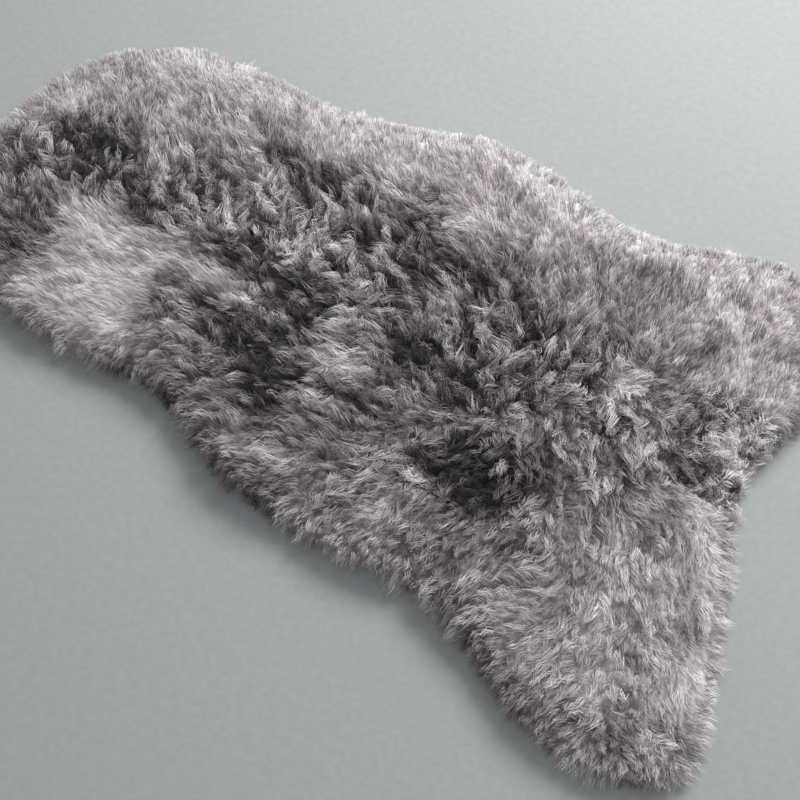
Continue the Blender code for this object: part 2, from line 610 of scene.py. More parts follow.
# x, y, heading, reach and lay, with lengths in millimetres.
STROKE_ROWS = (
    # Narrow end.
    (-483, 40, 148, 40, Lay.SMOOTH),
    (-453, 100, 140, 45, Lay.SMOOTH),
    (-393, 160, 155, 45, Lay.SMOOTH),
    (-313, 190, 155, 45, Lay.SMOOTH),
    (-233, 170, 145, 45, Lay.SMOOTH),
    (-413, 90, 142, 35, Lay.SOFT),
    (-343, 120, 150, 40, Lay.SOFT),
    (-273, 120, 148, 40, Lay.SOFT),
    (-203, 110, 168, 30, Lay.WAVY),
    (-453, 0, 130, 30, Lay.CURLED),
    (-403, 30, 125, 35, Lay.UPRIGHT),
    (-353, -10, 110, 35, Lay.UPRIGHT),
    (-313, 40, 135, 35, Lay.WAVY),
    (-283, -10, 145, 30, Lay.UPRIGHT),
    (-243, 70, 170, 30, Lay.WAVY),
    (-243, 30, 115, 32, Lay.CURLED),
    (-413, -70, 163, 30, Lay.WAVY),
    (-383, -110, 178, 30, Lay.WAVY),
    (-323, -70, 178, 40, Lay.SMOOTH),
    (-253, -70, 180, 30, Lay.SMOOTH),
    (-263, -120, 182, 40, Lay.SMOOTH),
    (-323, -150, 198, 35, Lay.SMOOTH),
    (-243, -170, 215, 40, Lay.SMOOTH),
    (-173, -180, 222, 40, Lay.SOFT),
    # Body, far side.
    (-163, 180, 132, 40, Lay.SMOOTH),
    (-93, 200, 115, 45, Lay.SMOOTH),
    (-3, 215, 152, 45, Lay.SMOOTH),
    (77, 210, 130, 40, Lay.SMOOTH),
    (147, 215, 100, 40, Lay.SMOOTH),
    (217, 210, 90, 40, Lay.SMOOTH),
    (-113, 120, 162, 40, Lay.WAVY),
    (-33, 140, 208, 35, Lay.WAVY),
    (27, 155, 198, 30, Lay.SOFT),
    (77, 140, 140, 35, Lay.WAVY),
    (127, 120, 133, 35, Lay.WAVY),
    (137, 170, 116, 35, Lay.SOFT),
    (197, 150, 100, 40, Lay.SOFT),
    (47, 90, 175, 30, Lay.WAVY),
    # Back line.
    (-173, 50, 150, 30, Lay.CURLED),
    (-123, 45, 100, 28, Lay.CURLED),
    (-73, 40, 155, 28, Lay.CURLED),
    (-13, 50, 170, 30, Lay.CURLED),
    (7, 0, 200, 25, Lay.CURLED),
    (47, 55, 170, 30, Lay.WAVY),
    (87, 30, 122, 30, Lay.CURLED),
    (127, 75, 135, 25, Lay.WAVY),
    (147, 40, 112, 30, Lay.CURLED),
    (167, 0, 60, 28, Lay.CURLED),
    (217, 50, 58, 30, Lay.CURLED),
    (267, 40, -40, 28, Lay.CURLED),
    # Body, near side.
    (-153, -20, 180, 35, Lay.UPRIGHT),
    (-73, -20, 192, 32, Lay.UPRIGHT),
    (17, -30, 190, 25, Lay.WAVY),
    (67, -20, 152, 35, Lay.UPRIGHT),
    (-163, -55, 180, 28, Lay.SMOOTH),
    (-163, -100, 186, 35, Lay.WAVY),
    (-93, -90, 176, 35, Lay.UPRIGHT),
    (-43, -130, 181, 35, Lay.UPRIGHT),
    (-123, -145, 200, 35, Lay.WAVY),
    (-13, -75, 205, 30, Lay.SOFT),
    (77, -65, 172, 32, Lay.WAVY),
    (17, -120, 178, 28, Lay.WAVY),
    (-83, -190, 208, 40, Lay.SOFT),
    (-3, -190, 205, 40, Lay.SOFT),
    (87, -130, 215, 28, Lay.WAVY),
    (77, -180, 200, 30, Lay.WAVY),
    (47, -225, 250, 35, Lay.SOFT),
    (137, -135, 130, 20, Lay.CURLED),
    (127, -20, 160, 25, Lay.CURLED),
    (187, -110, -105, 35, Lay.UPRIGHT),
    (217, -60, -62, 30, Lay.WAVY),
    (157, -190, 265, 40, Lay.SOFT),
    (227, -190, 272, 40, Lay.SOFT),
    # Far lobe.
    (237, 100, 140, 32, Lay.WAVY),
    (267, 160, 80, 40, Lay.SMOOTH),
    (327, 150, 104, 35, Lay.SMOOTH),
    (327, 220, 110, 40, Lay.SMOOTH),
    (387, 170, 90, 40, Lay.SMOOTH),
    (427, 210, 50, 45, Lay.SOFT),
    (297, 80, 20, 30, Lay.WAVY),
    (367, 80, 88, 32, Lay.CURLED),
    (357, 20, -60, 20, Lay.CURLED),
    (397, 20, 70, 20, Lay.CURLED),
    (317, 10, -80, 30, Lay.WAVY),
    # Near lobe.
    (247, -20, -72, 30, Lay.WAVY),
    (297, -60, -62, 35, Lay.WAVY),
    (367, -50, -20, 30, Lay.SOFT),
    (357, -100, -68, 35, Lay.SOFT),
    (427, -90, -60, 40, Lay.SMOOTH),
    (297, -130, -75, 30, Lay.SOFT),
    (297, -200, -140, 35, Lay.SOFT),
    (367, -180, -68, 35, Lay.SOFT),
    (437, -170, -48, 35, Lay.SOFT),
    (467, -180, -50, 30, Lay.SMOOTH),
    (367, -240, -102, 35, Lay.SOFT),
    (447, -250, -20, 30, Lay.WAVY),
    (387, -290, -112, 30, Lay.SOFT),
)

STROKES = tuple(Stroke(x / 1000.0, y / 1000.0, heading, reach / 1000.0, lay)
                for x, y, heading, reach, lay in STROKE_ROWS)

# x, y, long, wide, angle and tone, with lengths in millimetres.  Where patches lie over
# each other their tones add up.
PATCH_ROWS = (
    # Paler far rim, where the wool lies flat: painted light from the window behind it.
    (-453, 130, 60, 30, 50, 0.10),
    (-343, 190, 80, 30, 15, 0.14),
    (-193, 190, 60, 25, 10, 0.14),
    (-63, 230, 80, 25, 15, 0.16),
    (67, 240, 80, 22, -6, 0.18),
    (117, 200, 30, 20, 0, 0.10),
    (207, 235, 60, 20, 5, 0.12),
    (317, 260, 60, 22, 12, 0.18),
    # The paler narrow end and lobes.
    (-393, 70, 80, 45, 10, 0.18),
    (-213, 40, 140, 35, 0, 0.12),
    (347, 180, 70, 100, 0, 0.03),
    (397, 40, 30, 60, 0, 0.26),
    (267, 60, 22, 45, -20, 0.14),
    (407, -200, 90, 70, -20, 0.17),
    (467, -270, 50, 30, 20, 0.20),
    (327, -100, 40, 50, 0, 0.07),
    # Pale tufts.
    (-203, 0, 30, 12, 0, 0.16),
    (-113, -66, 30, 11, 0, 0.22),
    (-133, 172, 24, 14, 0, 0.12),
    (147, -98, 20, 9, -20, 0.16),
    (357, -100, 14, 50, 10, 0.14),
    (317, 200, 30, 14, -30, 0.14),
    (-463, -15, 28, 14, 10, 0.18),
    (-418, 60, 30, 12, -30, 0.14),
    (-343, 100, 34, 13, -30, 0.12),
    (-313, 35, 26, 12, -35, 0.16),
    (-228, 10, 22, 12, 30, 0.18),
    (-313, -70, 60, 24, -8, 0.14),
    (-253, -130, 55, 45, -30, 0.16),
    (-153, -52, 70, 12, -2, 0.12),
    (-123, 42, 50, 20, -18, 0.24),
    (-58, 150, 20, 30, 0, 0.12),
    (-13, 10, 35, 10, -15, 0.16),
    (-13, 45, 20, 12, -20, 0.16),
    (-25, -22, 26, 13, -62, 0.16),
    (22, 155, 38, 14, 15, 0.24),
    (137, 125, 45, 16, -35, 0.14),
    (57, 50, 50, 11, -15, 0.22),
    (42, 20, 30, 10, -20, 0.24),
    (-18, -73, 34, 12, 18, 0.24),
    (72, -60, 40, 10, -8, 0.20),
    (12, -122, 26, 9, -5, 0.20),
    (135, -135, 26, 9, -45, 0.34),
    (87, -135, 22, 16, 60, 0.14),
    (97, -190, 70, 12, 0, 0.18),
    (167, -250, 120, 18, 0, 0.22),
    (197, 30, 45, 14, 0, 0.16),
    (272, 45, 22, 16, 90, 0.14),
    (382, 65, 40, 14, 80, 0.22),
    (437, -80, 60, 14, -50, 0.10),
    (477, -160, 50, 18, -60, 0.14),
    (347, -190, 55, 20, 20, 0.12),
    (447, -245, 55, 12, -5, 0.12),
    (-463, -10, 24, 16, 20, 0.10),
    (-293, 0, 24, 14, -20, 0.10),
    (-193, 10, 22, 14, 0, 0.12),
    (-173, 60, 26, 13, -25, 0.12),
    (-113, 40, 30, 14, -20, 0.10),
    (-113, -60, 30, 12, 0, 0.10),
    (37, 20, 28, 12, -20, 0.12),
    (257, 50, 22, 28, 0, 0.18),
    (367, 50, 20, 30, 0, 0.12),
    (327, 0, 18, 24, 0, 0.10),
    (407, 0, 14, 24, 0, 0.12),
    (167, -20, 24, 16, 0, 0.10),
    (157, -100, 20, 14, 0, 0.10),
    (447, -230, 30, 18, -20, 0.10),
    (447, -280, 30, 18, 10, 0.10),
    (-343, 120, 30, 14, -25, 0.06),
    (-163, 170, 30, 14, 0, 0.07),
    (-70, 89, 20, 14, 0, 0.14),
    (-29, 29, 22, 14, -20, 0.16),
    (-90, 22, 22, 12, -20, 0.12),
    (16, -24, 20, 14, 0, 0.16),
    (81, 32, 18, 14, 0, 0.12),
    (-26, -29, 18, 12, 0, 0.12),
    (-170, 11, 20, 12, 30, 0.10),
    (-137, 26, 18, 12, 0, 0.10),
    (-64, 190, 22, 16, 60, 0.10),
    (-143, 158, 26, 16, 0, 0.10),
    (-236, 93, 22, 12, 0, 0.10),
    (-324, 136, 30, 14, 0, 0.08),
    (-314, 22, 22, 14, 0, 0.12),
    (-278, 2, 22, 18, 60, 0.16),
    (-298, -24, 18, 14, 0, 0.10),
    (-452, -25, 18, 14, 0, 0.16),
    (-400, -10, 34, 24, 0, 0.07),
    (-392, -77, 24, 14, 0, 0.10),
    (-236, -160, 40, 16, 0, 0.06),
    (176, -25, 22, 14, 0, 0.18),
    (255, 60, 18, 24, 0, 0.18),
    (240, 122, 20, 14, 0, 0.08),
    (272, -31, 18, 28, 0, 0.18),
    (374, -153, 22, 16, 0, 0.16),
    (300, -226, 22, 18, 0, 0.08),
    (432, -222, 26, 14, 0, 0.08),
    (403, 55, 22, 16, 0, 0.14),
    (394, -5, 18, 14, 0, 0.16),
    (332, 0, 20, 16, 0, 0.10),
    (388, 88, 26, 16, 0, 0.08),
    (163, -100, 22, 12, -20, 0.12),
    (138, -152, 22, 14, 0, 0.08),
    (160, -245, 28, 12, 0, 0.10),
    (-62, -118, 30, 18, 0, 0.06),
    (-170, -124, 30, 18, 0, 0.06),
    (360, 50, 50, 35, 0, 0.13),
    (400, 0, 22, 22, 0, 0.12),
    (330, 0, 26, 20, 0, 0.10),
    (-78, 92, 30, 18, 0, 0.12),
    (16, -24, 18, 14, 0, 0.12),
    (35, 6, 20, 12, 0, 0.09),
    (83, 30, 18, 12, 0, 0.08),
    (-150, 50, 34, 16, -20, 0.08),
    (-400, 2, 44, 22, 0, 0.08),
    (-432, 35, 22, 16, 0, 0.10),
    (-222, 92, 26, 14, 0, 0.08),
    (-276, 4, 20, 16, 0, 0.06),
    (252, 55, 20, 24, 0, 0.08),
    (246, 15, 18, 18, 0, 0.08),
    (302, -52, 20, 14, 0, 0.10),
    (335, 100, 28, 18, 60, 0.10),
    (20, -72, 22, 14, 0, 0.10),
    (140, -150, 22, 12, 0, 0.08),
    (120, -250, 60, 12, 5, 0.10),
    (-95, -88, 28, 14, 0, 0.06),
    (-115, 4, 26, 12, 0, 0.08),
    (403, 52, 20, 18, 0, 0.13),
    (390, 92, 24, 16, 0, 0.09),
    (345, 12, 22, 16, 0, 0.11),
    (397, 2, 16, 16, 0, 0.09),
    (22, -68, 22, 12, -10, 0.13),
    (16, -20, 16, 12, 0, 0.12),
    (-12, 48, 24, 12, -10, 0.08),
    (-30, 30, 20, 10, 0, 0.07),
    (175, -24, 20, 14, 0, 0.11),
    (258, 62, 16, 20, 0, 0.09),
    (310, -58, 20, 12, 0, 0.11),
    (458, -168, 34, 14, -20, 0.08),
    (-452, -22, 16, 12, 0, 0.08),
    (-330, 30, 28, 12, -15, 0.08),
    (-278, 0, 18, 16, 0, 0.08),
    (-310, -22, 16, 14, 0, 0.08),
    (-222, 96, 28, 12, 0, 0.08),
    (-280, 165, 36, 16, 0, 0.07),
    (-142, 154, 26, 16, 0, 0.08),
    (-115, 2, 26, 12, 0, 0.09),
    (-120, -72, 22, 16, 0, 0.07),
    (-75, 90, 18, 14, 0, 0.09),
    (-62, 125, 18, 22, 0, 0.08),
    (87, 122, 26, 14, 0, 0.08),
    (137, 42, 20, 14, 0, 0.08),
    (130, -246, 50, 10, 0, 0.08),
    # Dark hollows and partings, their colour darkened with painted shade.
    (-373, 98, 30, 8, 15, -0.18),
    (-423, 135, 30, 10, 10, -0.12),
    (-383, 15, 60, 20, 15, -0.14),
    (-443, -45, 30, 14, -50, -0.30),
    (-293, -12, 50, 14, -28, -0.18),
    (-253, 75, 50, 12, -5, -0.18),
    (-383, -88, 26, 11, 8, -0.30),
    (-363, -140, 32, 20, 60, -0.26),
    (-218, 165, 28, 12, 30, -0.20),
    (-163, 105, 36, 12, -10, -0.30),
    (-113, 118, 75, 16, -3, -0.16),
    (-208, -85, 22, 10, 85, -0.18),
    (-133, -22, 85, 14, 0, -0.10),
    (-53, 73, 30, 13, -20, -0.36),
    (-151, 20, 20, 7, 90, -0.26),
    (-21, 122, 22, 12, 0, -0.24),
    (47, 93, 70, 14, -3, -0.42),
    (42, 218, 32, 8, -28, -0.26),
    (7, 28, 24, 8, -20, -0.30),
    (102, 20, 30, 8, -50, -0.30),
    (72, -18, 50, 18, 0, -0.24),
    (-48, -50, 18, 12, 90, -0.30),
    (-73, -110, 80, 20, -5, -0.14),
    (-113, -160, 40, 12, -20, -0.20),
    (-33, -150, 26, 10, 0, -0.18),
    (32, -98, 50, 8, -5, -0.30),
    (17, -172, 30, 11, 20, -0.20),
    (187, -105, 55, 34, -20, -0.34),
    (232, -75, 22, 18, 0, -0.24),
    (157, 63, 22, 14, 0, -0.30),
    (222, 195, 40, 20, 0, -0.20),
    (227, 100, 45, 18, 10, -0.16),
    (320, 148, 24, 11, 80, -0.22),
    (322, 222, 18, 8, -10, -0.22),
    (332, 5, 34, 10, 80, -0.20),
    (382, 18, 16, 10, 0, -0.34),
    (267, -145, 30, 16, 30, -0.18),
    (337, -150, 26, 8, 0, -0.16),
    (402, -185, 30, 8, -10, -0.22),
    (417, -270, 30, 10, 0, -0.20),
    (-143, 90, 30, 14, -20, -0.12),
    (-53, 70, 26, 14, -10, -0.10),
    (7, 225, 30, 10, 0, -0.10),
    (237, 200, 30, 16, 0, -0.10),
    (37, -220, 30, 12, 0, -0.10),
    (-43, -50, 22, 14, 0, -0.10),
    (-153, -80, 24, 12, 0, -0.12),
    (387, 180, 22, 14, 20, -0.12),
    (30, 60, 24, 20, 60, -0.20),
    (-57, 60, 24, 14, 0, -0.14),
    (-41, -69, 30, 14, 0, -0.14),
    (-154, -86, 20, 14, 0, -0.14),
    (9, -236, 34, 18, 0, -0.14),
    (-22, -169, 30, 18, 0, -0.12),
    (112, -232, 26, 14, 0, -0.12),
    (195, -200, 50, 34, 0, -0.15),
    (287, -262, 30, 18, -30, -0.20),
    (267, -146, 24, 18, 0, -0.12),
    (320, -131, 22, 18, 0, -0.12),
    (324, -182, 22, 14, 0, -0.12),
    (349, -64, 18, 14, 0, -0.12),
    (373, -30, 18, 14, 0, -0.12),
    (442, -126, 22, 16, -60, -0.12),
    (371, -82, 22, 14, 0, -0.08),
    (298, 131, 24, 18, 60, -0.16),
    (208, 151, 26, 18, 0, -0.12),
    (150, 188, 36, 18, 0, -0.08),
    (30, 208, 34, 14, 0, -0.08),
    (367, 170, 30, 26, 0, -0.10),
    (462, -242, 28, 18, 20, -0.22),
    (351, -262, 30, 16, 0, -0.10),
    (398, -258, 30, 14, 0, -0.10),
    (-455, 110, 34, 18, 50, -0.14),
    (-480, 50, 20, 30, 0, -0.16),
    (-246, -54, 24, 14, 0, -0.07),
    (-212, 77, 20, 14, 0, -0.10),
    (-230, 150, 22, 14, 0, -0.10),
    (70, -75, 26, 12, 0, -0.08),
    (32, 62, 20, 18, 60, -0.12),
    (-57, 60, 18, 12, 0, -0.08),
    (-41, -69, 22, 12, 0, -0.10),
    (-20, -108, 20, 14, 0, -0.10),
    (5, -225, 30, 16, 0, -0.08),
    (290, -12, 18, 14, 0, -0.08),
    (442, -126, 20, 16, -60, -0.06),
    (130, -62, 20, 12, 0, -0.08),
    (277, 152, 40, 16, -10, -0.15),
    (300, 124, 18, 16, 0, -0.08),
    (32, 62, 18, 16, 60, -0.14),
    (-40, -68, 24, 12, -10, -0.12),
    (150, -166, 20, 12, 0, -0.10),
    (290, -10, 18, 14, 0, -0.11),
    (350, -64, 16, 12, 0, -0.10),
    (418, -80, 14, 30, 0, -0.10),
    (440, -130, 14, 22, 0, -0.08),
    (258, -232, 20, 22, 0, -0.10),
    (302, -268, 20, 14, 0, -0.06),
    (-472, -50, 16, 24, 0, -0.14),
    (-5, 180, 24, 14, 0, -0.07),
    (-57, 60, 14, 12, 0, -0.08),
    (130, -62, 18, 12, 0, -0.07),
    # The shaded near border.
    (-143, -195, 80, 14, 5, -0.22),
    (-53, -225, 60, 14, -18, -0.16),
    (277, -240, 40, 12, -28, -0.10),
)

PATCHES = tuple(Patch(x / 1000.0, y / 1000.0, long / 1000.0, wide / 1000.0, angle, tone)
                for x, y, long, wide, angle, tone in PATCH_ROWS)


@dataclass
class Groom:
    """Direction and kind of lay over the whole hide.

    Attributes:
        shape: the hide's outline and depth.
        edge_width: how far in from the edge the wool still falls outward.
        edge_grip: how much of the comb's direction that fall takes away at the edge.
        dense: height of the dense wool that the strands come out of, against the depth.
        rim: height of the dense wool at the hide's edge.
        shoulder: how far in from the hide's edge the dense wool reaches its height.
        hollow_drop: how much lower it lies in a dark hollow, for a tone that is 1 lower.
        hollow_limit: the tone at which a hollow gets no deeper.
        plain_share: weight of the plain lay, which holds where no stroke reaches.
        spread: how a stroke fades, against its reach.
        focus: how sharply one stroke's lay gives way to the next one's.
        patch_fade: how fast a patch fades outward.
        swirl_turn: how far the comb's direction swirls, in radians.
        base: the plain lay.
        swirl: the pattern of that swirl.
    """

    shape: HideShape
    edge_width: float = 24.0 * MM
    edge_grip: float = 0.75
    dense: float = 0.79
    rim: float = 2.0 * MM
    shoulder: float = 15.0 * MM
    hollow_drop: float = 0.55
    hollow_limit: float = -0.4
    plain_share: float = 0.10
    spread: float = 0.7
    focus: float = 1.8
    patch_fade: float = 0.9
    swirl_turn: float = 0.40
    base: LockStyle = Lay.SOFT.value
    swirl: SmoothNoise = field(default_factory=lambda: SmoothNoise(0.030, SEED + 2))

    def weights(self, points: np.ndarray) -> np.ndarray:
        """Share of each stroke at each point, with the plain lay's share first."""
        parts = [np.full(len(points), self.plain_share)]
        for stroke in STROKES:
            gap = (points - (stroke.x, stroke.y)) ** 2
            parts.append(np.exp(-gap.sum(axis=1) / (2.0 * (self.spread * stroke.reach) ** 2)))
        parts = np.stack(parts, axis=1)
        return parts / parts.sum(axis=1, keepdims=True)

    def style(self, points: np.ndarray) -> dict[str, np.ndarray]:
        """Each figure of the lay at plan positions."""
        soft = self.weights(points)
        sharp = soft ** self.focus
        sharp = sharp / sharp.sum(axis=1, keepdims=True)
        styles = [self.base] + [stroke.lay.value for stroke in STROKES]
        return {item.name: (soft if item.name == "tone" else sharp)
                @ np.array([getattr(style, item.name) for style in styles])
                for item in fields(LockStyle)}

    def patch_tone(self, points: np.ndarray) -> np.ndarray:
        """Lift of colour that the patches give at plan positions."""
        tone = np.zeros(len(points))
        for patch in PATCHES:
            gap = turned(points - (patch.x, patch.y), -math.radians(patch.angle))
            reach = (gap[:, 0] / patch.long) ** 2 + (gap[:, 1] / patch.wide) ** 2
            tone += patch.tone * np.exp(-self.patch_fade * reach)
        return tone

    def wool_tone(self, points: np.ndarray) -> np.ndarray:
        """Lift of colour that the lay and the patches give at plan positions."""
        return self.style(points)["tone"] + self.patch_tone(points)

    def dense_height(self, points: np.ndarray) -> np.ndarray:
        """Height of the dense wool at plan positions: lower in the dark hollows."""
        inset = self.shape.inset(points)
        hollow = np.maximum(np.minimum(self.patch_tone(points), 0.0), self.hollow_limit)
        full = self.shape.height(points) * (self.dense + self.hollow_drop * hollow)
        side = np.clip(1.0 - inset / self.shoulder, 0.0, 1.0)
        return self.rim + (full - self.rim) * np.sqrt(1.0 - side ** 2)

    def heading(self, points: np.ndarray) -> np.ndarray:
        """Unit vectors that the tips point along."""
        shares = self.weights(points)
        outward = self.shape.outward(points)
        angles = np.radians([stroke.heading for stroke in STROKES])
        combed = shares[:, 1:] @ np.stack([np.cos(angles), np.sin(angles)], axis=1)
        combed = combed + shares[:, :1] * outward
        combed = turned(unit(combed), self.swirl_turn * self.swirl.at(points))
        near = np.clip(1.0 - self.shape.inset(points) / self.edge_width, 0.0, 1.0)
        edge = ease(near)[:, None]
        return unit(combed * (1.0 - self.edge_grip * edge) + outward * edge)


def scatter(shape: HideShape, rng: np.random.Generator, step: float, inset: float,
            loose: float = 0.42) -> np.ndarray:
    """Scatter points over the hide on an uneven triangular grid.

    Args:
        shape: the hide's outline.
        rng: the source of the unevenness.
        step: distance between neighbours.
        inset: how far the points stay from the hide's edge.
        loose: how far a point strays from its place, against the step.

    Returns:
        Plan positions, one row each.
    """
    row = step * math.sqrt(3.0) / 2.0
    low = shape.ring.min(axis=0) - step
    high = shape.ring.max(axis=0) + step
    xs = np.arange(low[0], high[0], step)
    ys = np.arange(low[1], high[1], row)
    grid = np.stack(np.meshgrid(xs, ys, indexing="xy"), axis=-1)
    grid[1::2, :, 0] += 0.5 * step
    points = grid.reshape(-1, 2)
    points = points + rng.uniform(-loose, loose, points.shape) * step
    return points[shape.inset(points) > inset]


@dataclass
class Tufts:
    """Where the fleece parts into tufts, long ovals that lie along the comb's strokes.

    Attributes:
        shape: the hide's outline and depth.
        groom: how the wool is combed.
        spacing: distance between the hearts of neighbouring tufts.
        long: how much longer a tuft is than it is wide.
        cleft_width: width of the cleft between two tufts.
        tip: where a tuft's tip lies, against half its length.
        furthest: how far a tuft's draws may lie from the usual, in standard deviations.
        hearts: middle of each tuft.
        along: unit vector towards each tuft's tip.
        draws: what sets each tuft apart, one row each.
    """

    shape: HideShape
    groom: Groom
    spacing: float = 13.0 * MM
    long: float = 1.9
    cleft_width: float = 2.6 * MM
    tip: float = 0.7
    furthest: float = 1.8
    hearts: np.ndarray = field(init=False)
    along: np.ndarray = field(init=False)
    draws: np.ndarray = field(init=False)

    def __post_init__(self) -> None:
        """Place the tufts and draw what sets each one apart."""
        rng = np.random.default_rng(SEED + 3)
        self.hearts = scatter(self.shape, rng, self.spacing, -0.5 * self.spacing)
        self.along = self.groom.heading(self.hearts)
        draws = rng.normal(0.0, 1.0, (len(self.hearts), 6))
        self.draws = np.clip(draws, -self.furthest, self.furthest)

    def at(self, points: np.ndarray) -> dict[str, np.ndarray]:
        """Read the tufts at plan positions.

        Args:
            points: plan positions, one row each.

        Returns:
            The tuft's draws (turn, rise, tone, phase, cycles, bend), how far towards its tip
            the point lies (lead, -1 to 1), how far to the side of its spine (aside, in
            metres, and across, the way there) and how deep in a cleft (cleft, 0 to 1).
        """
        best = np.full(len(points), np.inf)
        second = best.copy()
        index = np.zeros(len(points), dtype=int)
        lead = np.zeros(len(points))
        side = np.zeros(len(points))
        for number, (heart, along) in enumerate(zip(self.hearts, self.along)):
            gap = points - heart
            ahead = gap @ along
            aside = gap[:, 0] * along[1] - gap[:, 1] * along[0]
            reach = np.hypot(ahead / self.long, aside)
            closer = reach < best
            second = np.where(closer, best, np.minimum(second, reach))
            best = np.where(closer, reach, best)
            index[closer] = number
            lead[closer] = ahead[closer] / (self.tip * self.spacing * self.long)
            side[closer] = aside[closer]
        cleft = np.exp(-((second - best) / self.cleft_width) ** 2)
        draws = self.draws[index]
        along = self.along[index]
        return {"turn": draws[:, 0], "rise": draws[:, 1], "tone": draws[:, 2],
                "phase": draws[:, 3], "cycles": draws[:, 4], "bend": draws[:, 5],
                "lead": np.clip(lead, -1.0, 1.0), "aside": side,
                "across": np.stack([along[:, 1], -along[:, 0]], axis=1), "cleft": cleft}


# --------------------------------------------------------------------------
# The fleece
# --------------------------------------------------------------------------
Range = tuple[float, float]    # the two ends of an even draw


@dataclass(frozen=True)
class LockHabit:
    """How single locks depart from the lay round them.

    A tone's two shares are the plain one and the one that grows with the lay's contrast.
    """

    tuft_turn: float = 0.85              # of the lay's stray, for a whole tuft
    lock_turn: float = 0.16              # of the lay's stray, for one lock
    length: Range = (0.85, 1.15)
    tuft_rise: float = 0.08              # of the wool's depth, for a whole tuft
    lock_rise: float = 0.06              # of the wool's depth, for one lock
    lead_rise: float = 0.12              # leading locks stand over the next tuft
    side_drop: float = 0.5               # a tuft falls away to both sides of its spine
    tuft_tone: tuple[float, float] = (0.040, 0.105)
    clump_tone: tuple[float, float] = (0.06, 0.05)
    lead_painted_light: float = 0.11              # painted light towards a tuft's raised tip, painted shade at its start
    cleft_shade: float = 0.19             # painted shade in the cleft between two tufts
    sunk: float = 2.5 * MM               # how deep in the dense wool a lock starts
    least: float = 4.0 * MM              # how far over its start its tip stands at least

    # Short dense locks fill in between the long ones.
    filler_share: float = 0.25
    filler_run: Range = (0.2, 0.6)       # of a long lock's run
    filler_rise: Range = (0.80, 0.92)    # of a long lock's rise
    filler_tone: float = 0.05            # how much darker they are

    # Near the border the locks start at all heights, fall outward and hang down.
    border_width: float = 28.0 * MM
    border_calm: float = 0.7             # how much less they stray
    border_start: Range = (0.1, 1.0)     # of the dense wool's height
    border_hang: Range = (0.10, 0.95)    # of their start's height, where the tips hang
    border_tip: float = 1.0 * MM         # the lowest that a tip hangs
    border_run: float = 15.0 * MM        # how far outward they reach
    border_slope: float = 0.10           # longer, the farther in they grow
    border_length: Range = (0.75, 1.15)
    border_scallop: float = 0.45         # how much the clumps change their reach

    # The curve of a lock from its root to its tip.  A power above 1 keeps a movement for
    # the tip's end, and one below 1 starts it at the root.
    out_power: float = 1.35
    onward: float = 0.8                  # where along its run it takes the next heading
    bend: float = 0.6                    # how far it turns to that heading
    bend_power: float = 2.5
    tuft_phase: float = 2.0              # of its wave, in radians, for a whole tuft
    lock_phase: float = 0.22             # and for one lock
    waves: tuple[float, float] = (1.3, 0.2)    # in a lock, and how that varies
    sway_power: float = 0.7
    arc: float = 0.6                     # how far it bends aside in one sweep
    arc_power: float = 2.0
    pull_power: float = 1.3              # towards the spine of its tuft
    arch: float = 0.68                   # how far round its arch its tip lies, in half turns
    bob: float = 0.45                    # up and down, against its sideways wave
    bob_lag: float = 0.7                 # in radians


@dataclass(frozen=True)
class StrandHabit:
    """How single strands depart from their lock."""

    spread: float = 0.80                 # of the lock spacing, where they start
    gather_power: float = 1.1
    twists: int = 3                      # finer gatherings in a lock
    narrowing: float = 0.8               # how far a twist draws together at its tip
    narrowing_power: float = 1.4
    stray: tuple[float, float, float] = (1.1 * MM, 1.1 * MM, 1.2 * MM)
    stray_power: float = 1.5
    held: float = 0.6                    # how much less they stray where locks gather
    length: Range = (0.55, 1.05)
    usual_length: float = 0.85           # which keeps its lock's tone
    length_tone: float = 0.10            # longer strands end paler
    width: Range = (0.6, 1.25)
    root_width: float = 0.8              # of a strand's width, where it starts
    swell: float = 0.4                   # how much it widens before it tapers
    taper_power: float = 2.2
    lock_draw: float = 0.45              # a strand's own colour: its lock's share
    strand_draw: float = 0.55            # and its own
    roll: float = 0.45                   # how a ribbon turns about its length, in radians
    crown: float = 1.02                  # of the wool's height, where strands flatten off
    crown_least: float = 12.0 * MM       # that height where the wool is thinnest
    crown_over: float = 0.3              # how far past that they still rise
    floor: float = 1.2 * MM              # the lowest that a strand hangs


